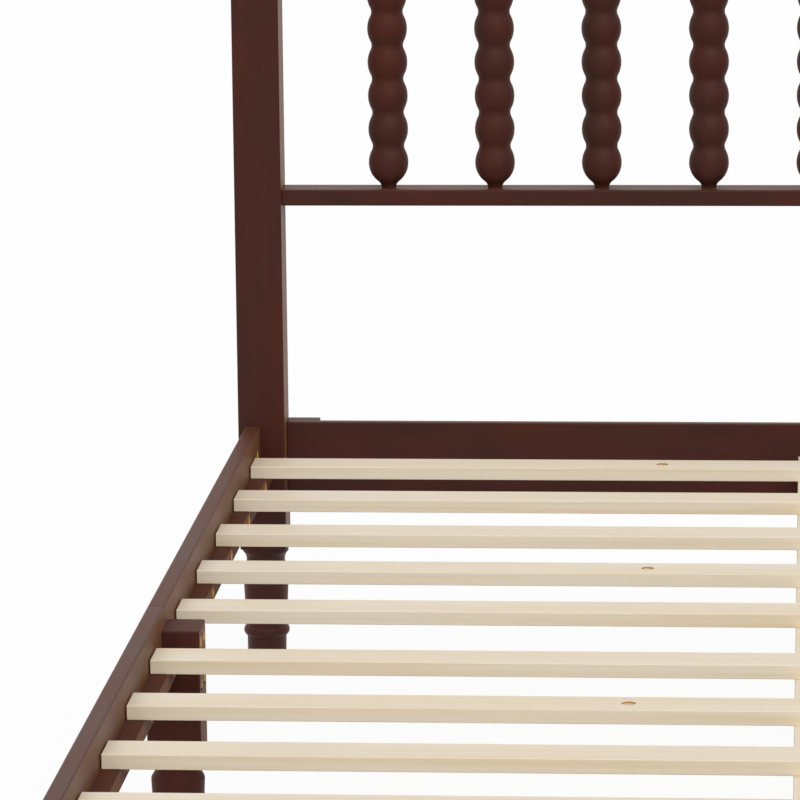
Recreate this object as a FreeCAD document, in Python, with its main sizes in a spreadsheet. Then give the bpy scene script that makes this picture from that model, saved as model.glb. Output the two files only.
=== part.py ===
"""A spindle bed: turned posts, a headboard of beaded spindles, and a slatted base.

Millimetres. X runs across the bed, +Y towards the headboard, +Z up. The origin is on the
floor, under the middle of the bed.
"""
import FreeCAD
import Part
import math
import os
import Sketcher

from FreeCAD import Placement, Rotation, Vector

# ---------------------------------------------------------------- driving sizes

SIZES = {
    # the frame as a whole
    "inside_width": 1380.0,       # between the inner faces of the two side rails
    "rail_span": 1930.0,          # between the head posts and the foot posts
    "rail_top": 305.0,            # top edge of the side rails above the floor
    "joint_play": 0.2,            # each half stops this short of the middle of the bed
    "seat_play": 0.3,             # lengthwise play of a piece laid between two others
    "fit_play": 0.15,             # play all round a tenon, a shank or a nut in its hole
    # side rails and the ledger cleats that carry the slats
    "rail_thick": 18.0,
    "rail_height": 92.0,
    "rail_inset": 9.0,            # rail's outer face behind the post's outer face
    "board_round": 2.0,           # eased edges of the boards
    "rail_end_ease": 0.8,         # where two rail halves meet
    "cross_end_ease": 1.7,        # where a board or a rail across the bed meets its posts
    "cleat_thick": 20.0,
    "cleat_height": 20.0,
    "cleat_round": 1.5,
    # posts, square above a turned foot
    "post_side": 58.0,
    "post_round": 3.0,            # eased upright edges
    "post_ease": 2.0,             # eased edges where the square begins and ends
    "post_rise": 9.0,             # square part above the rail that it ends over
    "square_from": 147.0,         # the square begins this far above the floor
    "foot_relief": 0.2,           # the turned foot stays this far inside the square
    "tip_dia": 48.4,
    "tip_chamfer": 1.5,
    "ankle_dia": 49.3,            # just under the ring
    "ring_from": 32.5,
    "ring_height": 13.0,
    "ring_bulge": 7.7,            # radius of the ring's outline
    "calf_dia": 51.2,             # just over the ring
    "foot_neck_dia": 48.0,
    "foot_neck_at": 130.0,
    "foot_cove": 15.5,
    "foot_shoulder": 8.0,
    # turned cap on each post
    "cap_base_dia": 46.0,
    "cap_base_height": 4.0,
    "cap_neck_dia": 30.0,
    "cap_neck_at": 8.0,
    "cap_cove": 6.0,
    "cap_dia": 48.0,
    "cap_widest_at": 20.0,
    "cap_cheek": 13.0,            # radius of the cap under its widest line
    "cap_shoulder": 14.0,         # radius of the cap over its widest line
    "cap_lean": 60.0,             # degrees that the shoulder turns before the crown takes over
    # headboard
    "mid_rail_top": 602.0,
    "mid_rail_height": 20.0,
    "mid_rail_depth": 44.0,
    "crest_height": 62.0,
    "crest_depth": 36.0,
    "crest_round": 5.0,
    "tenon_length": 18.0,
    "tenon_shoulder": 4.0,        # how far a tenon is inside its rail, on every side
    # beaded spindles
    "spindle_count": 9.0,
    "bead_count": 10.0,
    "bead_pitch": 41.6,
    "bead_dia": 49.0,
    "crease_dia": 38.8,
    "crease_round": 11.5,         # radius of the hollow between two beads
    "end_bulge": 29.0,            # radius of the row's last outline, towards the neck
    "spindle_neck_dia": 18.0,
    "spindle_end": 31.1,          # from a rail to the middle of the nearest bead
    "spindle_cove": 10.0,
    "spindle_peg": 12.0,          # length of the neck inside a rail
    # boards across the head and the foot, and the blocks behind them
    "end_rail_thick": 13.0,
    "end_rail_height": 92.0,
    "end_rail_rise": 1.0,         # above the side rails
    "end_rail_setback": 25.0,     # behind the posts' faces
    "block_width": 40.0,
    "block_depth": 18.0,
    "block_round": 1.5,
    "block_ease": 1.2,
    # mid legs
    "mid_leg_drop": 21.0,         # block's top below the side rail's top
    # slats
    "slats_per_half": 5.0,
    "slat_first": 112.5,          # from the middle of the bed to the nearest slat
    "slat_pitch": 188.5,
    "slat_drop": 25.0,            # slat's top below the side rail's top
    "slat_thick": 15.0,
    "slat_width": 53.5,
    "slat_round": 1.0,
    "slat_end_play": 2.0,
    "slat_bore_dia": 14.5,
    "slat_bore_at": 186.0,        # from the bed's centre line
    # centre beam, its rests and its legs
    "beam_width": 42.0,
    "beam_height": 36.0,
    "beam_round": 1.5,
    "rest_plate": 12.0,           # wood between the beam's end and the board
    "rest_ledge": 24.0,           # how far the beam lies on its rest
    "rest_floor": 15.0,           # wood under the beam's end
    "rest_peg_dia": 10.0,         # peg that keeps the beam from sliding off sideways
    "rest_peg_height": 12.0,
    "center_leg_side": 42.0,
    "center_leg_at": 482.5,
    "center_leg_round": 2.5,
    "center_leg_ease": 1.5,
    # rail bolts and their barrel nuts
    "bolt_dia": 6.0,
    "rail_bolt_high": 30.0,       # upper bolt below the side rail's top
    "rail_bolt_low": 73.0,
    "bolt_head_dia": 14.0,
    "bolt_head_height": 4.0,
    "bolt_sink_dia": 16.0,
    "bolt_sink": 6.0,
    "bolt_socket": 4.0,           # across the flats of the hexagon
    "bolt_socket_depth": 2.5,
    "barrel_dia": 12.0,
    "barrel_length": 14.0,
    "barrel_setback": 28.0,       # from the rail's end
    "bolt_overrun": 8.0,          # bolt past the middle of the barrel nut
    # mid leg bolts and the threaded inserts in the rails
    "mid_bolt_high": 34.0,        # upper bolts below the side rail's top
    "mid_bolt_low": 82.0,
    "mid_bolt_spread": 14.0,      # from the joint between the rail halves
    "mid_sink_dia": 14.0,
    "mid_sink": 6.0,
    "mid_head_dia": 10.0,
    "mid_head_height": 5.0,
    "insert_dia": 9.0,
    "insert_length": 12.0,
    # wood screws
    "screw_dia": 4.0,
    "screw_head_dia": 8.0,
    "screw_head_height": 2.6,
    "screw_point": 4.0,
    "screw_tip_dia": 0.8,
    "screw_slot": 1.2,            # width and depth of the cross recess
    "screw_slot_reach": 4.8,
    "screw_grip": 10.0,           # length in the second piece of wood
    "screw_sink_dia": 12.0,
    "rest_sink_dia": 9.0,
    "screw_sink": 5.0,
    "cleat_screw_shift": 27.0,    # from a slat's middle towards the middle of the bed
    "block_screw_sink": 16.0,
    "block_screw_low": 18.0,      # outer screws from the block's ends
    "block_screw_mid": 34.0,      # screws into the end rail from the block's ends
    "rest_screw_spread": 12.0,
    "stud_dia": 8.0,              # headless screws between the centre legs and the beam
    "stud_length": 50.0,
    "stud_spread": 13.0,
}


# ---------------------------------------------------------------- the sheet, and sizes from it

class Size:
    """A size worked out from the sheet: its number now, and the expression that gives it."""

    def __init__(self, number, text):
        self.number = float(number)
        self.text = text

    def __float__(self):
        return self.number

    def join(self, other, sign, number):
        return Size(number, f"({self.text} {sign} {as_size(other).text})")

    def __add__(self, other):
        return self.join(other, "+", self.number + float(other))

    def __sub__(self, other):
        return self.join(other, "-", self.number - float(other))

    def __mul__(self, other):
        return self.join(other, "*", self.number * float(other))

    def __truediv__(self, other):
        return self.join(other, "/", self.number / float(other))

    def __radd__(self, other):
        return as_size(other) + self

    def __rsub__(self, other):
        return as_size(other) - self

    def __rmul__(self, other):
        return as_size(other) * self

    def __neg__(self):
        return self * -1


def as_size(value):
    """A plain number as a Size, so that both can be mixed."""
    if isinstance(value, Size):
        return value
    return Size(value, f"({float(value)})")


def root(value):
    return Size(math.sqrt(float(value)), f"sqrt({value.text})")


def sine(degrees):
    return Size(math.sin(math.radians(float(degrees))), f"sin({degrees.text} * 1deg)")


def cosine(degrees):
    return Size(math.cos(math.radians(float(degrees))), f"cos({degrees.text} * 1deg)")


def smaller(first, second):
    return Size(min(float(first), float(second)), f"min({first.text}; {second.text})")


class Sheet:
    """The spreadsheet of driving sizes, read as sheet.alias."""

    def __init__(self, document, values):
        self.table = document.addObject("Spreadsheet::Sheet", "Sizes")
        self.values = values
        for row, (alias, number) in enumerate(values.items(), start=1):
            self.table.set(f"A{row}", alias)
            self.table.set(f"B{row}", str(number))
            self.table.setAlias(f"B{row}", alias)

    def __getattr__(self, alias):
        return Size(self.values[alias], f"Sizes.{alias}")


doc = FreeCAD.newDocument("SpindleBed")
size = Sheet(doc, SIZES)
doc.recompute()

# ---------------------------------------------------------------- places that several pieces share

half_width = size.inside_width / 2 + size.rail_thick + size.rail_inset
half_span = size.rail_span / 2
post_half = size.post_side / 2
post_x = half_width - post_half
post_y = half_span + post_half
post_gap = 2 * half_width - 2 * size.post_side
rail_x = size.inside_width / 2 + size.rail_thick / 2
rail_bottom = size.rail_top - size.rail_height
end_rail_y = half_span + size.end_rail_setback
end_rail_top = size.rail_top + size.end_rail_rise
end_rail_bottom = end_rail_top - size.end_rail_height
# The blocks stand behind the board at the head, and on the bed's side of it at the foot.
block_y = {1: end_rail_y + size.end_rail_thick + size.block_depth / 2,
           -1: end_rail_y - size.block_depth / 2}
slat_bottom = size.rail_top - size.slat_drop - size.slat_thick
beam_bottom = slat_bottom - size.beam_height
mid_leg_x = size.inside_width / 2 + size.rail_thick - post_half
mid_block_top = size.rail_top - size.mid_leg_drop
spindle_length = 2 * size.spindle_end + (size.bead_count - 1) * size.bead_pitch
spindle_pitch = post_gap / (size.spindle_count + 1)
crest_bottom = size.mid_rail_top + spindle_length
crest_top = crest_bottom + size.crest_height
head_square_top = crest_top + size.post_rise
foot_square_top = end_rail_top + size.post_rise
bolt_hole_dia = size.bolt_dia + 2 * size.fit_play
screw_hole_dia = size.screw_dia + 2 * size.fit_play
rail_bolt_heights = (size.rail_top - size.rail_bolt_high, size.rail_top - size.rail_bolt_low)
mid_bolt_heights = (size.rail_top - size.mid_bolt_high, size.rail_top - size.mid_bolt_low)
slat_places = [size.slat_first + step * size.slat_pitch
               for step in range(round(float(size.slats_per_half)))]
cleat_screw_places = [place - size.cleat_screw_shift for place in slat_places]
cleat_screw_height = slat_bottom - size.cleat_height / 2
block_post_screws = (size.block_screw_low, size.end_rail_height - size.block_screw_low)
block_rail_screws = (size.block_screw_mid, size.end_rail_height - size.block_screw_mid)
rest_bottom = beam_bottom - size.rest_floor
rest_face = end_rail_y - size.rest_plate
rest_peg_y = rest_face - size.rest_ledge / 2
rest_screw_height = beam_bottom + size.beam_height / 2

# A corner of the bed: its name, then the side (-1 left, 1 right) and the end (-1 foot, 1 head).
CORNERS = (("left_head", -1, 1), ("right_head", 1, 1), ("left_foot", -1, -1), ("right_foot", 1, -1))
SIDES = (("left", -1), ("right", 1))
ENDS = (("head", 1), ("foot", -1))

# ---------------------------------------------------------------- sketches and features

# The origin plane square to each axis, and whether its normal runs along the axis or against it.
PLANES = {"X": ("YZ_Plane", 1), "Y": ("XZ_Plane", -1), "Z": ("XY_Plane", 1)}
ORIGIN, START, END, CENTER = -1, 1, 2, 3
CLOSE = 0.01                  # two places this near are the same
CORNER_SHARE = 0.85           # an eased edge is tighter than the rounded corner that it runs into
HEXAGON = 6
BORED_EVERY = 3               # one slat in three is bored, from the second one out
LEAST_CUT = 1.0               # a cut takes more than this many cubic millimetres


def new_body(label):
    body = doc.addObject("PartDesign::Body", label)
    body.Label = label
    return body


def put(piece, x, y, z, turned=False):
    """Place a finished piece; turned means half a turn about the vertical."""
    x, y, z = as_size(x), as_size(y), as_size(z)
    turn = Rotation(Vector(0, 0, 1), 180 if turned else 0)
    piece.Placement = Placement(Vector(float(x), float(y), float(z)), turn)
    piece.setExpression("Placement.Base.x", x.text)
    piece.setExpression("Placement.Base.y", y.text)
    piece.setExpression("Placement.Base.z", z.text)


def new_sketch(body, axis, place):
    """A sketch square to the axis, at a place along it."""
    role, sense = PLANES[axis]
    plane = next(item for item in body.Origin.OriginFeatures if item.Role == role)
    sketch = body.newObject("Sketcher::SketchObject", "Outline")
    sketch.AttachmentSupport = [(plane, "")]
    sketch.MapMode = "FlatFace"
    offset = sense * as_size(place)
    sketch.AttachmentOffset = Placement(Vector(0, 0, float(offset)), Rotation())
    sketch.setExpression("AttachmentOffset.Base.z", offset.text)
    return sketch


def bind(sketch, constraints):
    """Add constraints, each with the size that drives it."""
    numbers = sketch.addConstraint([constraint for constraint, _ in constraints])
    for number, (_, value) in zip(numbers, constraints):
        sketch.setExpression(f"Constraints[{number}]", value.text)


def hold(element, end, x, y):
    """The two constraints that hold a point of a sketch."""
    x, y = as_size(x), as_size(y)
    across = Sketcher.Constraint("DistanceX", ORIGIN, START, element, end, float(x))
    up = Sketcher.Constraint("DistanceY", ORIGIN, START, element, end, float(y))
    return [(across, x), (up, y)]


def arc_between(start, end, radius, left):
    """The short arc from start to end, turning left or right."""
    chord = end - start
    half = chord.Length / 2
    across = Vector(-chord.y, chord.x, 0).normalize()
    rise = math.sqrt(max(radius * radius - half * half, 0.0))
    center = (start + end) / 2 + across * (rise if left else -rise)
    first, last = (start, end) if left else (end, start)
    angle_from = math.atan2(first.y - center.y, first.x - center.x)
    angle_to = math.atan2(last.y - center.y, last.x - center.x)
    circle = Part.Circle(center, Vector(0, 0, 1), radius)
    return Part.ArcOfCircle(circle, angle_from, angle_to)


def draw(sketch, corners):
    """Draw a closed outline.

    Each corner is (x, y), or (x, y, radius, way) where the side that leaves it is an arc
    that turns that way, left or right.
    """
    points = [Vector(float(corner[0]), float(corner[1]), 0) for corner in corners]
    joints = []
    sizes = []
    ends = []
    for index, corner in enumerate(corners):
        start = points[index]
        finish = points[(index + 1) % len(points)]
        if len(corner) == 2:
            element = sketch.addGeometry(Part.LineSegment(start, finish), False)
            ends.append((element, START, END))
        else:
            radius, left = as_size(corner[2]), corner[3] == "left"
            element = sketch.addGeometry(arc_between(start, finish, float(radius), left), False)
            ends.append((element, START, END) if left else (element, END, START))
            sizes.append((Sketcher.Constraint("Radius", element, float(radius)), radius))
    for index, (element, first, last) in enumerate(ends):
        following, following_first, _ = ends[(index + 1) % len(ends)]
        joints.append(Sketcher.Constraint("Coincident", element, last, following, following_first))
        sizes.extend(hold(element, first, corners[index][0], corners[index][1]))
    sketch.addConstraint(joints)
    bind(sketch, sizes)


def rectangle(sketch, x, y, width, height, corner=None):
    """Draw a rectangle about its middle, with rounded corners if a radius is given."""
    left, right = x - width / 2, x + width / 2
    low, high = y - height / 2, y + height / 2
    if corner is None:
        draw(sketch, [(left, low), (right, low), (right, high), (left, high)])
        return
    draw(sketch, [
        (left + corner, low), (right - corner, low, corner, "left"),
        (right, low + corner), (right, high - corner, corner, "left"),
        (right - corner, high), (left + corner, high, corner, "left"),
        (left, high - corner), (left, low + corner, corner, "left"),
    ])


def circles(sketch, centers, diameter):
    sizes = []
    for x, y in centers:
        center = Vector(float(x), float(y), 0)
        circle = Part.Circle(center, Vector(0, 0, 1), float(diameter) / 2)
        element = sketch.addGeometry(circle, False)
        sizes.append((Sketcher.Constraint("Diameter", element, float(diameter)), diameter))
        sizes.extend(hold(element, CENTER, x, y))
    bind(sketch, sizes)


def extrude(body, sketch, kind, axis, length, towards):
    """A Pad or a Pocket from the sketch, towards +1 or -1 along the axis."""
    feature = body.newObject(f"PartDesign::{kind}", kind)
    feature.Profile = sketch
    feature.Length = float(length)
    feature.setExpression("Length", as_size(length).text)
    own_way = PLANES[axis][1] if kind == "Pad" else -PLANES[axis][1]
    feature.Reversed = own_way != towards
    return feature


def pad(body, axis, start, length, shape, towards=1):
    """Add wood; shape draws the section on the sketch that it is given."""
    sketch = new_sketch(body, axis, start)
    shape(sketch)
    return extrude(body, sketch, "Pad", axis, length, towards)


def cut(body, axis, start, length, shape, towards=1):
    """Take wood away, from start, towards +1 or -1 along the axis."""
    sketch = new_sketch(body, axis, start)
    shape(sketch)
    return extrude(body, sketch, "Pocket", axis, length, towards)


def drill(body, axis, start, length, centers, diameter, towards=1):
    return cut(body, axis, start, length, lambda sketch: circles(sketch, centers, diameter), towards)


def ease(body, radius, corner, axis, places):
    """Round the edges that lie square to the axis at the places, less than the corners they turn."""
    doc.recompute()
    names = []
    for number, edge in enumerate(body.Tip.Shape.Edges, start=1):
        box = edge.BoundBox
        low, high = {"X": (box.XMin, box.XMax), "Y": (box.YMin, box.YMax),
                     "Z": (box.ZMin, box.ZMax)}[axis]
        for place in places:
            if abs(low - float(place)) < CLOSE and abs(high - float(place)) < CLOSE:
                names.append(f"Edge{number}")
    base = body.Tip
    feature = body.newObject("PartDesign::Fillet", "Eased")
    feature.Base = (base, names)
    limited = smaller(radius, CORNER_SHARE * corner)
    feature.Radius = float(limited)
    feature.setExpression("Radius", limited.text)


def turn(body, corners):
    """Add a turned shape: corners are (radius, height) and so on, from the axis and back."""
    sketch = new_sketch(body, "Y", 0)
    draw(sketch, corners)
    feature = body.newObject("PartDesign::Revolution", "Turning")
    feature.Profile = sketch
    feature.ReferenceAxis = (sketch, ["V_Axis"])
    feature.Angle = 360
    return feature


# ---------------------------------------------------------------- posts and legs

def turned_foot(body):
    """A leg's foot from the floor up: ankle, ring, tapered calf, shoulder, cove and collar."""
    tip = size.tip_dia / 2
    ring_top = size.ring_from + size.ring_height
    full = post_half - size.foot_relief
    neck = size.foot_neck_dia / 2
    reach = size.foot_cove + size.foot_shoulder
    drop = root(reach * reach - (reach - full + neck) * (reach - full + neck))
    calf_top = size.foot_neck_at - drop
    meet = size.foot_shoulder / reach
    meet_radius = full - size.foot_shoulder + meet * (neck + size.foot_cove - full + size.foot_shoulder)
    meet_height = calf_top + meet * drop
    flank = size.foot_cove + neck - full
    collar_from = size.foot_neck_at + root(size.foot_cove * size.foot_cove - flank * flank)
    turn(body, [
        (0, 0), (tip - size.tip_chamfer, 0), (tip, size.tip_chamfer),
        (size.ankle_dia / 2, size.ring_from, size.ring_bulge, "left"),
        (size.calf_dia / 2, ring_top), (full, calf_top, size.foot_shoulder, "left"),
        (meet_radius, meet_height, size.foot_cove, "right"),
        (full, collar_from), (full, size.square_from), (0, size.square_from),
    ])


def turned_cap(body, height):
    """A low turned cap on a post's flat top: base disc, cove, and a flattened ball."""
    base = size.cap_base_dia / 2
    neck = size.cap_neck_dia / 2
    widest = size.cap_dia / 2
    shoulder = size.cap_shoulder
    shoulder_x = widest - shoulder + cosine(size.cap_lean) * shoulder
    shoulder_z = size.cap_widest_at + sine(size.cap_lean) * shoulder
    crown = shoulder_x / cosine(size.cap_lean)
    crown_top = shoulder_z - sine(size.cap_lean) * crown + crown
    turn(body, [
        (0, height), (base, height), (base, height + size.cap_base_height, size.cap_cove, "right"),
        (neck, height + size.cap_neck_at, size.cap_cheek, "left"),
        (widest, height + size.cap_widest_at, shoulder, "left"),
        (shoulder_x, height + shoulder_z, crown, "left"),
        (0, height + crown_top),
    ])


def square_shaft(body, top):
    pad(body, "Z", size.square_from, top - size.square_from,
        lambda sketch: rectangle(sketch, as_size(0), as_size(0), size.post_side, size.post_side,
                                 size.post_round))
    ease(body, size.post_ease, size.post_round, "Z", [size.square_from, top])


def corner_post(label, side, end, top):
    """A head or foot post: inner face on the bed's side, bored for the rail bolts and screws."""
    inner = -side * end
    body = new_body(label)
    square_shaft(body, top)
    turned_foot(body)
    turned_cap(body, top)
    bolt_places = [(-inner * (rail_x - post_x), height) for height in rail_bolt_heights]
    drill(body, "Y", -post_half, size.post_side, bolt_places, bolt_hole_dia)
    drill(body, "Y", post_half, size.bolt_sink, bolt_places, size.bolt_sink_dia, towards=-1)
    screw_places = [(block_y[end] - post_y, end_rail_bottom + up) for up in block_post_screws]
    drill(body, "X", inner * post_half, size.screw_grip + size.seat_play, screw_places,
          screw_hole_dia, towards=-inner)
    put(body, side * post_x, end * post_y, 0, turned=end < 0)
    return body, inner


def mortise(body, inner, depth, bottom, height):
    """A mortise for the tenon of a rail that is centred on the post."""
    inset = 2 * size.tenon_shoulder - 2 * size.fit_play
    cut(body, "X", inner * post_half, size.tenon_length + size.seat_play,
        lambda sketch: rectangle(sketch, as_size(0), bottom + height / 2, depth - inset, height - inset),
        towards=-inner)


def head_post(label, side):
    body, inner = corner_post(label, side, 1, head_square_top)
    mid_rail_bottom = size.mid_rail_top - size.mid_rail_height
    mortise(body, inner, size.mid_rail_depth, mid_rail_bottom, size.mid_rail_height)
    mortise(body, inner, size.crest_depth, crest_bottom, size.crest_height)


def mid_leg(label, side):
    """A leg notched round the two rail halves where they meet."""
    inner = -side
    body = new_body(label)
    square_shaft(body, mid_block_top)
    turned_foot(body)
    notch_height = mid_block_top - rail_bottom
    notch_x = -inner * (post_half - size.rail_thick / 2)
    cut(body, "Y", -post_half, size.post_side,
        lambda sketch: rectangle(sketch, notch_x, rail_bottom + notch_height / 2, size.rail_thick,
                                 notch_height))
    bolt_places = [(way * size.mid_bolt_spread, height)
                   for way in (-1, 1) for height in mid_bolt_heights]
    drill(body, "X", inner * post_half, size.post_side - size.rail_thick, bolt_places,
          bolt_hole_dia, towards=-inner)
    drill(body, "X", inner * post_half, size.mid_sink, bolt_places, size.mid_sink_dia,
          towards=-inner)
    put(body, side * mid_leg_x, 0, 0)


# ---------------------------------------------------------------- side rails and cleats

def side_rail(label, side, end):
    """Half a side rail, from the middle of the bed (its own y = 0) to a post."""
    inner = -side * end
    length = half_span - size.joint_play
    body = new_body(label)
    pad(body, "Y", 0, length,
        lambda sketch: rectangle(sketch, as_size(0), size.rail_height / 2, size.rail_thick,
                                 size.rail_height, size.board_round))
    ease(body, size.rail_end_ease, size.board_round, "Y", [0])
    heights = [height - rail_bottom for height in rail_bolt_heights]
    drill(body, "Y", length, size.barrel_setback + size.bolt_overrun + size.seat_play,
          [(as_size(0), height) for height in heights], bolt_hole_dia, towards=-1)
    inner_face = inner * size.rail_thick / 2
    barrel_places = [(length - size.barrel_setback, height) for height in heights]
    drill(body, "X", inner_face, size.rail_thick / 2 + size.barrel_length / 2, barrel_places,
          size.barrel_dia + 2 * size.fit_play, towards=-inner)
    insert_places = [(size.mid_bolt_spread - size.joint_play, height - rail_bottom)
                     for height in mid_bolt_heights]
    drill(body, "X", inner_face, size.insert_length + size.seat_play, insert_places,
          size.insert_dia + 2 * size.fit_play, towards=-inner)
    screw_places = [(place - size.joint_play, cleat_screw_height - rail_bottom)
                    for place in cleat_screw_places]
    drill(body, "X", inner_face, size.screw_grip + size.seat_play, screw_places, screw_hole_dia,
          towards=-inner)
    put(body, side * rail_x, end * size.joint_play, rail_bottom, turned=end < 0)


def cleat(label, side, end):
    """The ledger strip on a rail's inner face, from the mid leg to a post."""
    inner = -side * end
    start = post_half + size.seat_play
    body = new_body(label)
    pad(body, "Y", start, half_span - size.seat_play - start,
        lambda sketch: rectangle(sketch, as_size(0), size.cleat_height / 2, size.cleat_thick,
                                 size.cleat_height, size.cleat_round))
    places = [(place, size.cleat_height / 2) for place in cleat_screw_places]
    inner_face = inner * size.cleat_thick / 2
    drill(body, "X", inner_face, size.cleat_thick, places, screw_hole_dia, towards=-inner)
    drill(body, "X", inner_face, size.screw_sink, places, size.screw_sink_dia, towards=-inner)
    x = size.inside_width / 2 - size.cleat_thick / 2
    put(body, side * x, 0, slat_bottom - size.cleat_height, turned=end < 0)


# ---------------------------------------------------------------- headboard

def tenoned_rail(label, bottom, height, depth, corner, bores_from_top):
    """A headboard rail between the posts, bored along one face for the spindles' pegs."""
    body = new_body(label)
    middle = height / 2
    pad(body, "X", -post_gap / 2, post_gap,
        lambda sketch: rectangle(sketch, as_size(0), middle, depth, height, corner))
    ease(body, size.cross_end_ease, corner, "X", [-post_gap / 2, post_gap / 2])
    inset = 2 * size.tenon_shoulder
    tenon_start = -post_gap / 2 - size.tenon_length
    pad(body, "X", tenon_start, post_gap + 2 * size.tenon_length,
        lambda sketch: rectangle(sketch, as_size(0), middle, depth - inset, height - inset))
    places = [(place, as_size(0)) for place in spindle_places()]
    start, towards = (height, -1) if bores_from_top else (as_size(0), 1)
    drill(body, "Z", start, size.spindle_peg + size.fit_play, places,
          size.spindle_neck_dia + 2 * size.fit_play, towards=towards)
    put(body, 0, post_y, bottom)


def spindle_places():
    count = round(float(size.spindle_count))
    return [spindle_pitch * (number - (count + 1) / 2) for number in range(1, count + 1)]


def spindle(label, place):
    """A turned spindle: a row of beads with creases between, and a thin neck at each end."""
    neck = size.spindle_neck_dia / 2
    bead = size.bead_dia / 2
    crease = size.crease_dia / 2
    depth = bead - crease
    half_pitch = size.bead_pitch / 2
    bulge = (half_pitch * half_pitch + depth * depth) / (2 * depth) - size.crease_round
    share = bulge / (bulge + size.crease_round)
    join_radius = bead - share * depth
    join_height = share * half_pitch
    reach = size.end_bulge + size.spindle_cove
    across = neck + size.spindle_cove - bead + size.end_bulge
    end_drop = root(reach * reach - across * across)
    end_share = size.end_bulge / reach
    end_radius = bead - size.end_bulge + end_share * across
    peg = size.spindle_peg
    # How a bead leaves off: radius and height where it does, the radius of its outline up to
    # there, and that of the hollow that follows.
    waist = (join_radius, join_height, bulge, size.crease_round)
    tail = (end_radius, end_share * end_drop, size.end_bulge, size.spindle_cove)
    corners = [(0, -peg), (neck, -peg), (neck, size.spindle_end - end_drop, size.spindle_cove, "right")]
    beads = round(float(size.bead_count))
    for number in range(beads):
        middle = size.spindle_end + number * size.bead_pitch
        below = tail if number == 0 else waist
        above = tail if number == beads - 1 else waist
        corners += [
            (below[0], middle - below[1], below[2], "left"),
            (bead, middle, above[2], "left"),
            (above[0], middle + above[1], above[3], "right"),
        ]
    last = spindle_length - size.spindle_end
    corners += [(neck, last + end_drop), (neck, spindle_length + peg), (0, spindle_length + peg)]
    body = new_body(label)
    turn(body, corners)
    put(body, place, post_y, size.mid_rail_top)


# ---------------------------------------------------------------- head and foot boards

def end_rail(label, end):
    """The board low across the head or the foot, between the posts."""
    body = new_body(label)
    middle = size.end_rail_height / 2
    pad(body, "X", -post_gap / 2, post_gap,
        lambda sketch: rectangle(sketch, size.end_rail_thick / 2, middle, size.end_rail_thick,
                                 size.end_rail_height, size.board_round))
    ease(body, size.cross_end_ease, size.board_round, "X", [-post_gap / 2, post_gap / 2])
    block_x = post_gap / 2 - size.block_width / 2
    block_places = [(way * block_x, up) for way in (-1, 1) for up in block_rail_screws]
    block_face = size.end_rail_thick if end > 0 else 0
    drill(body, "Y", block_face, size.screw_grip + size.seat_play, block_places,
          screw_hole_dia, towards=-end)
    rest_places = [(way * size.rest_screw_spread, rest_screw_height - end_rail_bottom)
                   for way in (-1, 1)]
    drill(body, "Y", 0, size.screw_grip + size.seat_play, rest_places, screw_hole_dia)
    put(body, 0, end * end_rail_y, end_rail_bottom, turned=end < 0)


def corner_block(label, side, end):
    """The block beside an end rail that holds it to its post."""
    inner = -side
    body = new_body(label)
    pad(body, "Z", 0, size.end_rail_height,
        lambda sketch: rectangle(sketch, as_size(0), as_size(0), size.block_width, size.block_depth,
                                 size.block_round))
    ease(body, size.block_ease, size.block_round, "Z", [0, size.end_rail_height])
    to_post = [(as_size(0), up) for up in block_post_screws]
    face = inner * size.block_width / 2
    drill(body, "X", face, size.block_width, to_post, screw_hole_dia, towards=-inner)
    drill(body, "X", face, size.block_screw_sink, to_post, size.screw_sink_dia, towards=-inner)
    to_rail = [(as_size(0), up) for up in block_rail_screws]
    back = size.block_depth / 2
    drill(body, "Y", back, size.block_depth, to_rail, screw_hole_dia, towards=-1)
    drill(body, "Y", back, size.screw_sink, to_rail, size.screw_sink_dia, towards=-1)
    x = post_gap / 2 - size.block_width / 2
    put(body, side * x, end * block_y[end], end_rail_bottom)


# ---------------------------------------------------------------- slats, beam and centre legs

def slat(label, place, bored):
    body = new_body(label)
    length = size.inside_width - 2 * size.slat_end_play
    pad(body, "X", -length / 2, length,
        lambda sketch: rectangle(sketch, as_size(0), size.slat_thick / 2, size.slat_width,
                                 size.slat_thick, size.slat_round))
    if bored:
        places = [(way * size.slat_bore_at, as_size(0)) for way in (-1, 1)]
        drill(body, "Z", 0, size.slat_thick, places, size.slat_bore_dia)
    put(body, 0, place, slat_bottom)


def beam_half(label, end):
    """Half the centre beam, from the middle of the bed to its rest."""
    body = new_body(label)
    length = rest_face - size.seat_play - size.joint_play
    pad(body, "Y", 0, length,
        lambda sketch: rectangle(sketch, as_size(0), size.beam_height / 2, size.beam_width,
                                 size.beam_height, size.beam_round))
    studs = [size.stud_spread, size.center_leg_at - size.stud_spread,
             size.center_leg_at + size.stud_spread]
    drill(body, "Z", 0, size.stud_length / 2 + size.fit_play,
          [(as_size(0), stud - size.joint_play) for stud in studs],
          size.stud_dia + 2 * size.fit_play)
    drill(body, "Z", 0, size.rest_peg_height + size.fit_play,
          [(as_size(0), rest_peg_y - size.joint_play)], size.rest_peg_dia + 2 * size.fit_play)
    put(body, 0, end * size.joint_play, beam_bottom, turned=end < 0)


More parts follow.
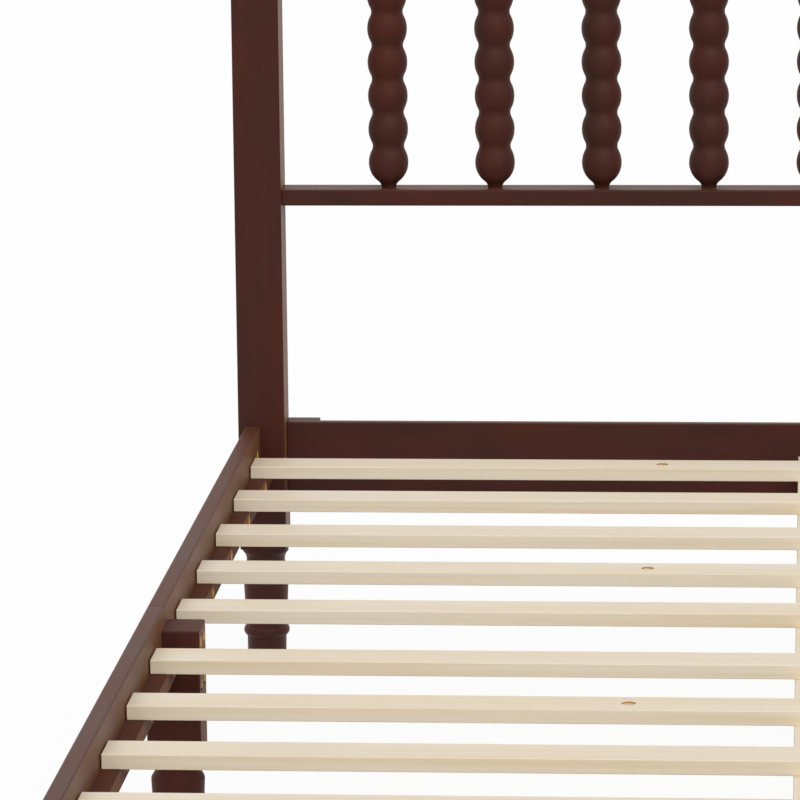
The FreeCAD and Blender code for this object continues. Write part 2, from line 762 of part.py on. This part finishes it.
def beam_rest(label, end):
    """The angled block on an end rail that carries the beam's end, with a peg up into it."""
    body = new_body(label)
    width = size.beam_width
    depth = size.rest_plate + size.rest_ledge
    top = size.rest_floor + size.beam_height
    pad(body, "X", -width / 2, width,
        lambda sketch: draw(sketch, [(-depth, 0), (0, 0), (0, top), (-size.rest_plate, top),
                                     (-size.rest_plate, size.rest_floor), (-depth, size.rest_floor)]))
    pad(body, "Z", size.rest_floor, size.rest_peg_height,
        lambda sketch: circles(sketch, [(as_size(0), rest_peg_y - end_rail_y)], size.rest_peg_dia))
    places = [(way * size.rest_screw_spread, rest_screw_height - rest_bottom) for way in (-1, 1)]
    drill(body, "Y", -size.rest_plate, size.rest_plate, places, screw_hole_dia)
    drill(body, "Y", -size.rest_plate, size.screw_sink, places, size.rest_sink_dia)
    put(body, 0, end * end_rail_y, rest_bottom, turned=end < 0)


def center_leg(label, place):
    """A plain square leg under the beam."""
    body = new_body(label)
    side = size.center_leg_side
    pad(body, "Z", 0, beam_bottom,
        lambda sketch: rectangle(sketch, as_size(0), as_size(0), side, side, size.center_leg_round))
    ease(body, size.center_leg_ease, size.center_leg_round, "Z", [0])
    studs = [(as_size(0), way * size.stud_spread) for way in (-1, 1)]
    drill(body, "Z", beam_bottom, size.stud_length / 2 + size.fit_play, studs,
          size.stud_dia + 2 * size.fit_play, towards=-1)
    put(body, 0, place, 0)


# ---------------------------------------------------------------- fasteners, grouped

def group(label, solids):
    """Identical fasteners as one sub-part of separate solids."""
    piece = doc.addObject("Part::Feature", label)
    piece.Label = label
    piece.Shape = Part.makeCompound(solids)
    piece.Placement = Placement()
    return piece


def rod(start, way, diameter, length):
    return Part.makeCylinder(float(diameter) / 2, float(length), start, way)


def bolt(seat, way, length, head_dia, head_height):
    """A machine bolt with a hexagon socket: its head sits on seat, its shank runs the given way."""
    shape = rod(seat, way, size.bolt_dia, length)
    shape = shape.fuse(rod(seat - way * float(head_height), way, head_dia, head_height))
    top = seat - way * float(head_height)
    across = way.cross(Vector(0, 0, 1)).normalize()
    corner_reach = float(size.bolt_socket) / math.sqrt(3)
    corners = [top + Rotation(way, 360 / HEXAGON * step).multVec(across) * corner_reach
               for step in range(HEXAGON + 1)]
    socket = Part.Face(Part.makePolygon(corners)).extrude(way * float(size.bolt_socket_depth))
    return shape.cut(socket)


def screw(seat, way, length):
    """A pan-head wood screw with a cross recess: its head sits on seat."""
    shank = float(length) - float(size.screw_point)
    shape = rod(seat, way, size.screw_dia, shank)
    tip = Part.makeCone(float(size.screw_dia) / 2, float(size.screw_tip_dia) / 2,
                        float(size.screw_point), seat + way * shank, way)
    top = seat - way * float(size.screw_head_height)
    head = rod(top, way, size.screw_head_dia, size.screw_head_height)
    shape = shape.fuse([tip, head])
    slot = float(size.screw_slot)
    reach = float(size.screw_slot_reach)
    turn_to_way = Rotation(Vector(0, 0, 1), way)
    for long_x, long_y in ((reach, slot), (slot, reach)):
        bar = Part.makeBox(long_x, long_y, slot, Vector(-long_x / 2, -long_y / 2, 0))
        bar.Placement = Placement(top, turn_to_way)
        shape = shape.cut(bar)
    return shape


def point(x, y, z):
    return Vector(float(x), float(y), float(z))


def rail_fasteners():
    """Bolts through the posts, and the barrel nuts in the rails that they draw on."""
    seat_y = half_span + size.post_side - size.bolt_sink
    nut_y = half_span - size.barrel_setback
    length = seat_y - nut_y + size.bolt_overrun
    for end_name, end in ENDS:
        bolts = []
        nuts = []
        for _, side in SIDES:
            for height in rail_bolt_heights:
                x = side * rail_x
                way = Vector(0, -end, 0)
                seat = point(x, end * seat_y, height)
                bolts.append(bolt(seat, way, length, size.bolt_head_dia, size.bolt_head_height))
                start = point(x - size.barrel_length / 2, end * nut_y, height)
                nut = rod(start, Vector(1, 0, 0), size.barrel_dia, size.barrel_length)
                bore = rod(point(x, end * nut_y - size.barrel_dia, height), Vector(0, 1, 0),
                           bolt_hole_dia, 2 * size.barrel_dia)
                nuts.append(nut.cut(bore))
        group(f"rail_bolts_{end_name}", bolts)
        group(f"rail_barrel_nuts_{end_name}", nuts)


def mid_leg_fasteners():
    """Bolts through the mid legs into threaded inserts in the rail halves."""
    seat_x = mid_leg_x - post_half + size.mid_sink
    rail_face = size.inside_width / 2
    for side_name, side in SIDES:
        bolts = []
        inserts = []
        for way_y in (-1, 1):
            for height in mid_bolt_heights:
                y = way_y * size.mid_bolt_spread
                way = Vector(side, 0, 0)
                seat = point(side * seat_x, y, height)
                length = rail_face + size.insert_length - seat_x
                bolts.append(bolt(seat, way, length, size.mid_head_dia, size.mid_head_height))
                start = point(side * rail_face, y, height)
                insert = rod(start, way, size.insert_dia, size.insert_length)
                inserts.append(insert.cut(rod(start, way, bolt_hole_dia, size.insert_length)))
        group(f"mid_leg_bolts_{side_name}", bolts)
        group(f"mid_leg_inserts_{side_name}", inserts)


def cleat_screws():
    seat_x = size.inside_width / 2 - size.cleat_thick + size.screw_sink
    length = size.inside_width / 2 + size.screw_grip - seat_x
    solids = [screw(point(side * seat_x, end * place, cleat_screw_height), Vector(side, 0, 0), length)
              for _, side, end in CORNERS for place in cleat_screw_places]
    group("cleat_screws", solids)


def corner_block_screws():
    """From each block, screws into the post and screws into the end rail."""
    solids = []
    face_x = post_gap / 2 - size.block_width + size.block_screw_sink
    length_x = post_gap / 2 + size.screw_grip - face_x
    length_y = size.block_depth - size.screw_sink + size.screw_grip
    block_x = post_gap / 2 - size.block_width / 2
    for _, side, end in CORNERS:
        middle_y = end * block_y[end]
        seat_y = middle_y + size.block_depth / 2 - size.screw_sink
        for up in block_post_screws:
            seat = point(side * face_x, middle_y, end_rail_bottom + up)
            solids.append(screw(seat, Vector(side, 0, 0), length_x))
        for up in block_rail_screws:
            seat = point(side * block_x, seat_y, end_rail_bottom + up)
            solids.append(screw(seat, Vector(0, -1, 0), length_y))
    group("corner_block_screws", solids)


def beam_rest_screws():
    seat_y = rest_face + size.screw_sink
    length = size.rest_plate - size.screw_sink + size.screw_grip
    solids = [screw(point(side * size.rest_screw_spread, end * seat_y, rest_screw_height),
                    Vector(0, end, 0), length) for _, side, end in CORNERS]
    group("beam_rest_screws", solids)


def center_leg_studs():
    solids = []
    for place in center_leg_places.values():
        for way in (-1, 1):
            start = point(0, place + way * size.stud_spread, beam_bottom - size.stud_length / 2)
            solids.append(rod(start, Vector(0, 0, 1), size.stud_dia, size.stud_length))
    group("center_leg_studs", solids)


# ---------------------------------------------------------------- the whole bed

center_leg_places = {"head": size.center_leg_at, "middle": as_size(0), "foot": -size.center_leg_at}

for side_name, side_sign in SIDES:
    head_post(f"head_post_{side_name}", side_sign)
    corner_post(f"foot_post_{side_name}", side_sign, -1, foot_square_top)
    mid_leg(f"mid_leg_{side_name}", side_sign)

for corner_name, side_sign, end_sign in CORNERS:
    side_rail(f"side_rail_{corner_name}", side_sign, end_sign)
    cleat(f"cleat_{corner_name}", side_sign, end_sign)
    corner_block(f"corner_block_{corner_name}", side_sign, end_sign)
for end_name, end_sign in ENDS:
    end_rail(f"end_rail_{end_name}", end_sign)
    beam_half(f"center_beam_{end_name}", end_sign)
    beam_rest(f"beam_rest_{end_name}", end_sign)
tenoned_rail("head_mid_rail", size.mid_rail_top - size.mid_rail_height, size.mid_rail_height,
             size.mid_rail_depth, size.board_round, bores_from_top=True)
tenoned_rail("head_crest_rail", crest_bottom, size.crest_height, size.crest_depth,
             size.crest_round, bores_from_top=False)
for number, spindle_x in enumerate(spindle_places(), start=1):
    spindle(f"head_spindle_{number}", spindle_x)
all_slats = [(place, step) for step, place in reversed(list(enumerate(slat_places)))]
all_slats += [(-place, step) for step, place in enumerate(slat_places)]
for number, (slat_y, step) in enumerate(all_slats, start=1):
    slat(f"slat_{number:02d}", slat_y, bored=step % BORED_EVERY == 1)
for place_name, leg_y in center_leg_places.items():
    center_leg(f"center_leg_{place_name}", leg_y)
rail_fasteners()
mid_leg_fasteners()
cleat_screws()
corner_block_screws()
beam_rest_screws()
center_leg_studs()

doc.recompute()

# ---------------------------------------------------------------- checks and export

SUBPART_TYPES = ("PartDesign::Body", "Part::Feature")
for item in doc.Objects:
    if "Invalid" in item.State or "Error" in item.State:
        raise RuntimeError(f"{item.Label} did not compute: {item.State}")
    if item.TypeId == "PartDesign::Pocket":
        if item.Shape.Volume > item.BaseFeature.Shape.Volume - LEAST_CUT:
            raise RuntimeError(f"{item.Label} cuts nothing")

os.makedirs("parts", exist_ok=True)
subparts = [item for item in doc.Objects if item.TypeId in SUBPART_TYPES]
for item in subparts:
    if item.Shape.isNull() or not item.Shape.isValid():
        raise RuntimeError(f"{item.Label} has no valid shape")
for item in subparts:
    item.Shape.exportStep(os.path.join("parts", f"{item.Label}.step"))
print(len(subparts), "sub-parts written")
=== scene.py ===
"""A spindle bed in walnut-stained hardwood with pale pine slats: finishes, floor, light, camera.

Metres, in the bed's own frame: X runs across the bed, +Y towards the headboard, +Z up, and the
origin is on the floor under the middle of the bed.
"""
import math

import bpy
from mathutils import Matrix, Vector


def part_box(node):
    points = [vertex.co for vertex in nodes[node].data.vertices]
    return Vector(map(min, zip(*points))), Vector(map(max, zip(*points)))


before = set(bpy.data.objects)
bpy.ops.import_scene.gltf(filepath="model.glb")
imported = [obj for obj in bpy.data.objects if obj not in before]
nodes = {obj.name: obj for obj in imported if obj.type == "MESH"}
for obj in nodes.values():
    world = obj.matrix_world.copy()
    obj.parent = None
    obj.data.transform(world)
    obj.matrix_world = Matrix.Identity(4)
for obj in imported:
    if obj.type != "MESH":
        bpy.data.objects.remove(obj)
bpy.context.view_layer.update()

MM = 0.001

# ---------------------------------------------------------------- colours and nodes


def linear(hex_code):
    """An sRGB hex colour as the linear colour that Blender works in."""
    channels = [int(hex_code[place:place + 2], 16) / 255 for place in (1, 3, 5)]
    flat = [c / 12.92 if c <= 0.04045 else ((c + 0.055) / 1.055) ** 2.4 for c in channels]
    return (*flat, 1.0)


def add(tree, kind, inputs=None, **settings):
    """Add a node. settings are its own properties; inputs are numbers, colours or other sockets."""
    node = tree.nodes.new(kind)
    for name, value in settings.items():
        setattr(node, name, value)
    for name, value in (inputs or {}).items():
        if isinstance(value, bpy.types.NodeSocket):
            tree.links.new(value, node.inputs[name])
        else:
            node.inputs[name].default_value = value
    return node


def blend_colours(tree, factor, stops):
    """A colour that runs through (place, hex colour) stops as factor goes from 0 to 1."""
    node = add(tree, "ShaderNodeValToRGB", {"Fac": factor})
    elements = node.color_ramp.elements
    while len(elements) < len(stops):
        elements.new(0.5)
    for element, (place, hex_code) in zip(elements, stops):
        element.position = place
        element.color = linear(hex_code)
    return node.outputs["Color"]


def empty_tree(owner):
    """The node tree of a new material or world, without the nodes that it comes with."""
    owner.use_nodes = True
    owner.node_tree.nodes.clear()
    return owner.node_tree


# ---------------------------------------------------------------- wood

AXES = {"X": 0, "Y": 1, "Z": 2}
FAR_APART = (71.0, 37.0, 53.0)  # how far the pattern moves from one piece to another, in features
WOOD_IOR = 1.5
RELIEF = 0.12                  # how strongly the pores and fibres tilt the light
# A pattern's feature, as its length along the grain and its width across.
CLOUD, STREAK, PORE = (110 * MM, 45 * MM), (240 * MM, 8 * MM), (22 * MM, 1.1 * MM)
WAVER, RING, FIBRE = (420 * MM, 60 * MM), (600 * MM, 6 * MM), (30 * MM, 0.8 * MM)
PORE_DEPTH, FIBRE_DEPTH = 0.3 * MM, 0.2 * MM
# How much a pattern darkens or lightens the wood, from its low places to its high ones.
STREAK_VALUE = {"From Min": 0.3, "From Max": 0.7, "To Min": 0.96, "To Max": 1.04}
PORE_VALUE = {"From Min": 0.35, "From Max": 0.65, "To Min": 0.94, "To Max": 1.04}
FIBRE_VALUE = {"From Min": 0.35, "From Max": 0.65, "To Min": 0.98, "To Max": 1.01}

# Tones as (place in their pattern, colour). First the walnut stain, from umber to red, then the
# bores' walls: the raw hardwood's honey, deepened to orange by painted bounce light, and in the
# pine's bores painted shade, a brown gold.
WALNUT = [(0.30, "#3D2018"), (0.45, "#432019"), (0.57, "#472018"), (0.70, "#4B2118")]
RAW_HARDWOOD_AND_BOUNCE_LIGHT = [(0.3, "#D99442"), (0.7, "#F5C17A")]
PINE_BORE_SHADE = [(0.3, "#AA7A38"), (0.7, "#C9984F")]
# The pine's cream, and the late wood's lines that are multiplied over it.
EARLY_WOOD = [(0.35, "#E9D9BF"), (0.65, "#EBDEC9")]
LATE_WOOD = [(0.48, "#FFFFFF"), (0.66, "#FBF6EA")]
PINE_ROUGHNESS = 0.42

# A coat of lacquer: its roughness where the clouds are dark and where they are pale, and its
# shine. Every coat has the same haze at a low angle, and the haze's warm tint is a painted warm
# reflection.
DULL_COAT, MATT_COAT, SATIN_COAT = (0.60, 0.72, 0.08), (0.54, 0.68, 0.17), (0.42, 0.54, 0.18)
PAINTED_WARM_REFLECTION, HAZE_WEIGHT, HAZE_ROUGHNESS = "#FFBC7C", 0.18, 0.3


def grain_pattern(tree, grain, feature, detail=2.0):
    """Noise drawn out along the grain, different on every piece."""
    along, across = feature
    scale = [1 / across] * 3
    scale[AXES[grain]] = 1 / along
    place = add(tree, "ShaderNodeTexCoord").outputs["Object"]
    piece = add(tree, "ShaderNodeObjectInfo").outputs["Random"]
    shift = add(tree, "ShaderNodeVectorMath", {0: FAR_APART, "Scale": piece}, operation="SCALE")
    moved = add(tree, "ShaderNodeMapping",
                {"Vector": place, "Location": shift.outputs["Vector"], "Scale": scale})
    noise = add(tree, "ShaderNodeTexNoise",
                {"Vector": moved.outputs["Vector"], "Scale": 1.0, "Detail": detail})
    return noise.outputs["Fac"]


def bored_wood(tree, zones):
    """A mask that is 1 on the walls of bored holes: inside the zones, clear of the wood's faces.

    The bed is the same on both sides of X = 0 and Y = 0, so a zone is given once, as the middle
    and the reach along X, Y and Z of the distance from those planes.
    """
    place = add(tree, "ShaderNodeTexCoord").outputs["Object"]
    folded = add(tree, "ShaderNodeVectorMath", {0: place}, operation="ABSOLUTE").outputs["Vector"]
    axes = add(tree, "ShaderNodeSeparateXYZ", {"Vector": folded}).outputs
    total = 0.0
    for zone in zones:
        share = 1.0
        for axis, (middle, reach) in zip("XYZ", zone):
            hit = add(tree, "ShaderNodeMath", {0: axes[axis], 1: middle, 2: reach}, operation="COMPARE")
            both = add(tree, "ShaderNodeMath", {0: share, 1: hit.outputs[0]}, operation="MULTIPLY")
            share = both.outputs[0]
        total = add(tree, "ShaderNodeMath", {0: total, 1: share}, operation="MAXIMUM").outputs[0]
    return total


def bare_where_bored(tree, colour, zones, pores, tones):
    """The colour, but the given tones where the tool went through the surface: raw wood with painted
    bounce light in the hardwood, and painted shade in the pine.
    """
    if not zones:
        return colour
    bore_wall_tone = blend_colours(tree, pores, tones)
    mix = add(tree, "ShaderNodeMix", {"Factor": bored_wood(tree, zones), "A": colour, "B": bore_wall_tone},
              data_type="RGBA")
    return mix.outputs["Result"]


def stained_hardwood(name, grain, zones, coat=MATT_COAT):
    """Hardwood with a wiped walnut stain under a thin lacquer, as on the spindles and mid legs.

    The stain takes unevenly, so the brown drifts between red and umber in soft clouds drawn out
    along the grain. Fine pores show only close to, and the lacquer shines at a low angle.
    """
    dark_roughness, pale_roughness, shine = coat
    material = bpy.data.materials.new(name)
    tree = empty_tree(material)
    clouds = grain_pattern(tree, grain, CLOUD)
    streaks = grain_pattern(tree, grain, STREAK)
    pores = grain_pattern(tree, grain, PORE, detail=3.0)
    stain = blend_colours(tree, clouds, WALNUT)
    streaked = add(tree, "ShaderNodeMapRange", {"Value": streaks, **STREAK_VALUE})
    pored = add(tree, "ShaderNodeMapRange", {"Value": pores, **PORE_VALUE})
    value = add(tree, "ShaderNodeMath", {0: streaked.outputs["Result"], 1: pored.outputs["Result"]},
                operation="MULTIPLY")
    toned = add(tree, "ShaderNodeHueSaturation", {"Color": stain, "Value": value.outputs["Value"]})
    # On the bores' walls: raw wood, whose deep orange is painted bounce light.
    colour = bare_where_bored(tree, toned.outputs["Color"], zones, pores, RAW_HARDWOOD_AND_BOUNCE_LIGHT)
    gloss = add(tree, "ShaderNodeMapRange",
                {"Value": clouds, "To Min": dark_roughness, "To Max": pale_roughness})
    relief = add(tree, "ShaderNodeBump", {"Height": pores, "Strength": RELIEF, "Distance": PORE_DEPTH})
    # The sheen's warm tint is a painted warm reflection.
    shader = add(tree, "ShaderNodeBsdfPrincipled",
                 {"Base Color": colour, "Roughness": gloss.outputs["Result"],
                  "Normal": relief.outputs["Normal"], "IOR": WOOD_IOR, "Specular IOR Level": shine,
                  "Sheen Weight": HAZE_WEIGHT, "Sheen Roughness": HAZE_ROUGHNESS,
                  "Sheen Tint": linear(PAINTED_WARM_REFLECTION)})
    add(tree, "ShaderNodeOutputMaterial", {"Surface": shader.outputs["BSDF"]})
    return material


def satin_hardwood(name, grain, zones):
    """The posts, rails and corner blocks, which had one more coat and shine more."""
    return stained_hardwood(name, grain, zones, SATIN_COAT)


def dull_hardwood(name, grain, zones):
    """The cleats, which are out of sight under a mattress: stained, and hardly lacquered."""
    return stained_hardwood(name, grain, zones, DULL_COAT)


def planed_pine(name, grain, zones):
    """Planed pine: cream early wood with thin, faint honey lines of late wood, as on the slats."""
    material = bpy.data.materials.new(name)
    tree = empty_tree(material)
    waver = grain_pattern(tree, grain, WAVER)
    rings = grain_pattern(tree, grain, RING)
    fibres = grain_pattern(tree, grain, FIBRE, detail=3.0)
    early = blend_colours(tree, waver, EARLY_WOOD)
    late = blend_colours(tree, rings, LATE_WOOD)
    grained = add(tree, "ShaderNodeMix", {"Factor": 1.0, "A": early, "B": late},
                  data_type="RGBA", blend_type="MULTIPLY")
    value = add(tree, "ShaderNodeMapRange", {"Value": fibres, **FIBRE_VALUE})
    toned = add(tree, "ShaderNodeHueSaturation",
                {"Color": grained.outputs["Result"], "Value": value.outputs["Result"]})
    # The bores' walls are painted shade, a brown gold.
    colour = bare_where_bored(tree, toned.outputs["Color"], zones, fibres, PINE_BORE_SHADE)
    relief = add(tree, "ShaderNodeBump", {"Height": fibres, "Strength": RELIEF, "Distance": FIBRE_DEPTH})
    shader = add(tree, "ShaderNodeBsdfPrincipled",
                 {"Base Color": colour, "Roughness": PINE_ROUGHNESS,
                  "Normal": relief.outputs["Normal"], "IOR": WOOD_IOR})
    add(tree, "ShaderNodeOutputMaterial", {"Surface": shader.outputs["BSDF"]})
    return material


# ---------------------------------------------------------------- metal

MOTTLE = 2 * MM                # the size of a cloud in the metal's colour and gloss
GLOSS_DRIFT = 0.1              # how far the roughness strays from its middle
TOOL_MARK = 0.05 * MM          # how deep the tool's marks are
TOOL_RELIEF = 0.1              # how strongly they tilt the light


def tooled_metal(name, dark, light, roughness):
    """Bare or plated metal, mottled in colour and gloss, with a fine tooled surface."""
    material = bpy.data.materials.new(name)
    tree = empty_tree(material)
    place = add(tree, "ShaderNodeTexCoord").outputs["Object"]
    noise = add(tree, "ShaderNodeTexNoise", {"Vector": place, "Scale": 1 / MOTTLE, "Detail": 3.0})
    mottle = noise.outputs["Fac"]
    colour = blend_colours(tree, mottle, [(0.35, dark), (0.65, light)])
    gloss = add(tree, "ShaderNodeMapRange",
                {"Value": mottle, "To Min": roughness - GLOSS_DRIFT, "To Max": roughness + GLOSS_DRIFT})
    relief = add(tree, "ShaderNodeBump",
                 {"Height": mottle, "Strength": TOOL_RELIEF, "Distance": TOOL_MARK})
    shader = add(tree, "ShaderNodeBsdfPrincipled",
                 {"Base Color": colour, "Metallic": 1.0, "Roughness": gloss.outputs["Result"],
                  "Normal": relief.outputs["Normal"]})
    add(tree, "ShaderNodeOutputMaterial", {"Surface": shader.outputs["BSDF"]})
    return material


def black_oxide_steel(name):
    """Blackened steel, as on the bolts: nearly black, with a dull oily shine."""
    return tooled_metal(name, dark="#1A1918", light="#2B2927", roughness=0.45)


def turned_brass(name):
    """Brass turned on a lathe, as on the barrel nuts and insert nuts: warm yellow and bright."""
    return tooled_metal(name, dark="#A9803F", light="#C49C58", roughness=0.32)


def yellow_zinc_steel(name):
    """Screws and studs plated in yellow zinc: pale gold, a little cloudy."""
    return tooled_metal(name, dark="#A88F4E", light="#CDB878", roughness=0.35)


# ---------------------------------------------------------------- a finish for each piece

# The start of the pieces' names, their finish, the way their grain runs, and the axes of the
# bores that show in them. The first row that fits a name counts.
FINISHES = (
    ("rail_bolts_", black_oxide_steel, None, ""),
    ("mid_leg_bolts_", black_oxide_steel, None, ""),
    ("rail_barrel_nuts_", turned_brass, None, ""),
    ("mid_leg_inserts_", turned_brass, None, ""),
    ("cleat_screws", yellow_zinc_steel, None, ""),
    ("corner_block_screws", yellow_zinc_steel, None, ""),
    ("beam_rest_screws", yellow_zinc_steel, None, ""),
    ("center_leg_studs", yellow_zinc_steel, None, ""),
    ("slat_", planed_pine, "X", "Z"),
    ("beam_rest_", planed_pine, "X", ""),
    ("center_beam_", planed_pine, "Y", ""),
    ("center_leg_", planed_pine, "Z", ""),
    ("side_rail_", satin_hardwood, "Y", "X"),
    ("cleat_", dull_hardwood, "Y", "X"),
    ("end_rail_", satin_hardwood, "X", ""),
    ("head_mid_rail", satin_hardwood, "X", ""),
    ("head_crest_rail", satin_hardwood, "X", ""),
    ("corner_block_", satin_hardwood, "Z", "XY"),
    ("mid_leg_", stained_hardwood, "Z", "X"),
    ("head_post_", satin_hardwood, "Z", "Y"),
    ("foot_post_", satin_hardwood, "Z", "Y"),
    ("head_spindle_", stained_hardwood, "Z", ""),
)
# Posts and mid legs are bored only at the height of their bolts, which this node holds.
BOLTS_OF = {"mid_leg_": "mid_leg_bolts_right", "head_post_": "rail_bolts_head",
            "foot_post_": "rail_bolts_foot"}
SKIN = 0.05 * MM               # where a bore's wall tone begins, under the face that it enters: raw wood in the hardwood, painted shade in the slats
EDGE = 2.6 * MM                # clear of the eased edges beside that face
SLAT_BORE_SHADE_DEPTH = 1.7 * MM              # how deep the painted shade reaches down the bores in the slats
DIGITS = 6                     # of a metre, so that like places on two pieces are the same


def finish_row(name):
    """The row of FINISHES for a piece."""
    return next(row for row in FINISHES if name.startswith(row[0]))


def folded_span(low, high, margin):
    """The middle and the reach of a span, as distances from the bed's middle plane."""
    if low < 0 < high:
        low = -high
    middle, reach = abs(low + high) / 2, (high - low) / 2 - margin
    return round(middle, DIGITS), round(reach, DIGITS)


def bored_zones(prefix, bore_axes):
    """The insides of the pieces whose names start with prefix, each place once."""
    zones = set()
    for name in nodes:
        if finish_row(name)[0] != prefix:
            continue
        low, high = (Vector(corner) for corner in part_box(name))
        # In the slats, only a band under the top of a bore is painted, as shade.
        if prefix == "slat_":
            low.z = high.z - SLAT_BORE_SHADE_DEPTH
        if prefix in BOLTS_OF:
            bolts_low, bolts_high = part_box(BOLTS_OF[prefix])
            low.z, high.z = bolts_low[2] - EDGE, bolts_high[2] + EDGE
        for bore_axis in bore_axes:
            zones.add(tuple(folded_span(low[place], high[place], SKIN if axis == bore_axis else EDGE)
                            for axis, place in AXES.items()))
    return sorted(zones)


made = {}
for name, node in nodes.items():
    prefix, finish, grain, bore_axes = finish_row(name)
    if prefix not in made:
        title = f"{finish.__name__}_on_{prefix.strip('_')}"
        if grain is None:
            made[prefix] = finish(title)
        else:
            made[prefix] = finish(title, grain, bored_zones(prefix, bore_axes))
    for slot in node.material_slots:
        slot.material = made[prefix]

# ---------------------------------------------------------------- floor and surroundings

FLOOR_SIDE = 80.0
FLOOR_SEEN, FLOOR_BOUNCE = "#F8F8F7", "#C4C4C2"  # its tone to the camera and to all other light
FLOOR_WHITE = 0.92             # the share of plain white in what the camera sees of the floor
SOFT_LIGHT = 0.54              # from all round, as a share of plain white
WHITE = (1.0, 1.0, 1.0, 1.0)


def pale_floor():
    """Matt paper white that keeps the bed's shadow, and is plain white in a reflection."""
    material = bpy.data.materials.new("pale_floor")
    tree = empty_tree(material)
    path = add(tree, "ShaderNodeLightPath").outputs
    tone = add(tree, "ShaderNodeMix", {"Factor": path["Is Camera Ray"], "A": linear(FLOOR_BOUNCE),
                                       "B": linear(FLOOR_SEEN)}, data_type="RGBA")
    paint = add(tree, "ShaderNodeBsdfDiffuse", {"Color": tone.outputs["Result"]})
    plain = add(tree, "ShaderNodeEmission", {"Color": WHITE, "Strength": 1.0})
    seen = add(tree, "ShaderNodeMath", {0: path["Is Camera Ray"], 1: FLOOR_WHITE},
               operation="MULTIPLY")
    mirrored = add(tree, "ShaderNodeMath",
                   {0: path["Is Glossy Ray"], 1: path["Is Transmission Ray"]}, operation="ADD")
    share = add(tree, "ShaderNodeMath", {0: seen.outputs[0], 1: mirrored.outputs[0]},
                operation="ADD", use_clamp=True)
    both = add(tree, "ShaderNodeMixShader",
               {0: share.outputs[0], 1: paint.outputs[0], 2: plain.outputs[0]})
    add(tree, "ShaderNodeOutputMaterial", {"Surface": both.outputs[0]})
    return material


def studio():
    """Soft even light from all round, which the camera and reflections see as plain white."""
    world = bpy.data.worlds.new("studio")
    tree = empty_tree(world)
    path = add(tree, "ShaderNodeLightPath").outputs
    direct = add(tree, "ShaderNodeMath", {0: path["Is Camera Ray"], 1: path["Is Glossy Ray"]},
                 operation="ADD")
    share = add(tree, "ShaderNodeMath", {0: direct.outputs[0], 1: path["Is Transmission Ray"]},
                operation="ADD", use_clamp=True)
    soft = add(tree, "ShaderNodeBackground", {"Color": WHITE, "Strength": SOFT_LIGHT})
    plain = add(tree, "ShaderNodeBackground", {"Color": WHITE, "Strength": 1.0})
    both = add(tree, "ShaderNodeMixShader",
               {0: share.outputs[0], 1: soft.outputs[0], 2: plain.outputs[0]})
    add(tree, "ShaderNodeOutputWorld", {"Surface": both.outputs[0]})
    return world


bpy.ops.object.select_all(action="DESELECT")
bpy.ops.mesh.primitive_plane_add(size=FLOOR_SIDE, location=(0, 0, 0))
floor = bpy.context.object
floor.name = "floor"
floor.data.materials.append(pale_floor())
bpy.context.scene.world = studio()

# ---------------------------------------------------------------- lamps


def wide_lamp(name, towards, strength, spread):
    """A large soft lamp far away, which lights the whole bed evenly. spread is in degrees."""
    lamp = bpy.data.lights.new(name, "SUN")
    lamp.energy = strength
    lamp.angle = math.radians(spread)
    holder = bpy.data.objects.new(name, lamp)
    bpy.context.scene.collection.objects.link(holder)
    holder.rotation_euler = Vector(towards).to_track_quat("-Z", "Y").to_euler()


wide_lamp("front_lamp", towards=(-0.38, 1.0, -0.85), strength=1.52, spread=40)
wide_lamp("overhead_lamp", towards=(0.1, -0.2, -1.0), strength=0.36, spread=80)

# ---------------------------------------------------------------- camera

CAMERA_PLACE = Vector((-0.0059, -5.3260, 1.5752))
# In radians: turned left of straight ahead, tipped down, and rolled.
CAMERA_YAW, CAMERA_PITCH, CAMERA_ROLL = -0.080614, -0.193352, -0.0115
SENSOR = 36.0                  # millimetres across
IMAGE_SIDE = 800               # pixels
FOCAL_PIXELS = 5180.3          # the lens's length, in pixels of the image

forward = Vector((math.sin(CAMERA_YAW) * math.cos(CAMERA_PITCH),
                  math.cos(CAMERA_YAW) * math.cos(CAMERA_PITCH), math.sin(CAMERA_PITCH)))
level = Vector((math.cos(CAMERA_YAW), -math.sin(CAMERA_YAW), 0))
upright = level.cross(forward)
right = math.cos(CAMERA_ROLL) * level + math.sin(CAMERA_ROLL) * upright
top = math.cos(CAMERA_ROLL) * upright - math.sin(CAMERA_ROLL) * level
camera = bpy.data.objects.new("camera", bpy.data.cameras.new("camera"))
bpy.context.scene.collection.objects.link(camera)
camera.data.sensor_width = SENSOR
camera.data.lens = FOCAL_PIXELS * SENSOR / IMAGE_SIDE
camera.matrix_world = Matrix.Translation(CAMERA_PLACE) @ Matrix(
    (right, top, -forward)).transposed().to_4x4()
bpy.context.scene.camera = camera
bpy.context.scene.view_settings.view_transform = "Standard"
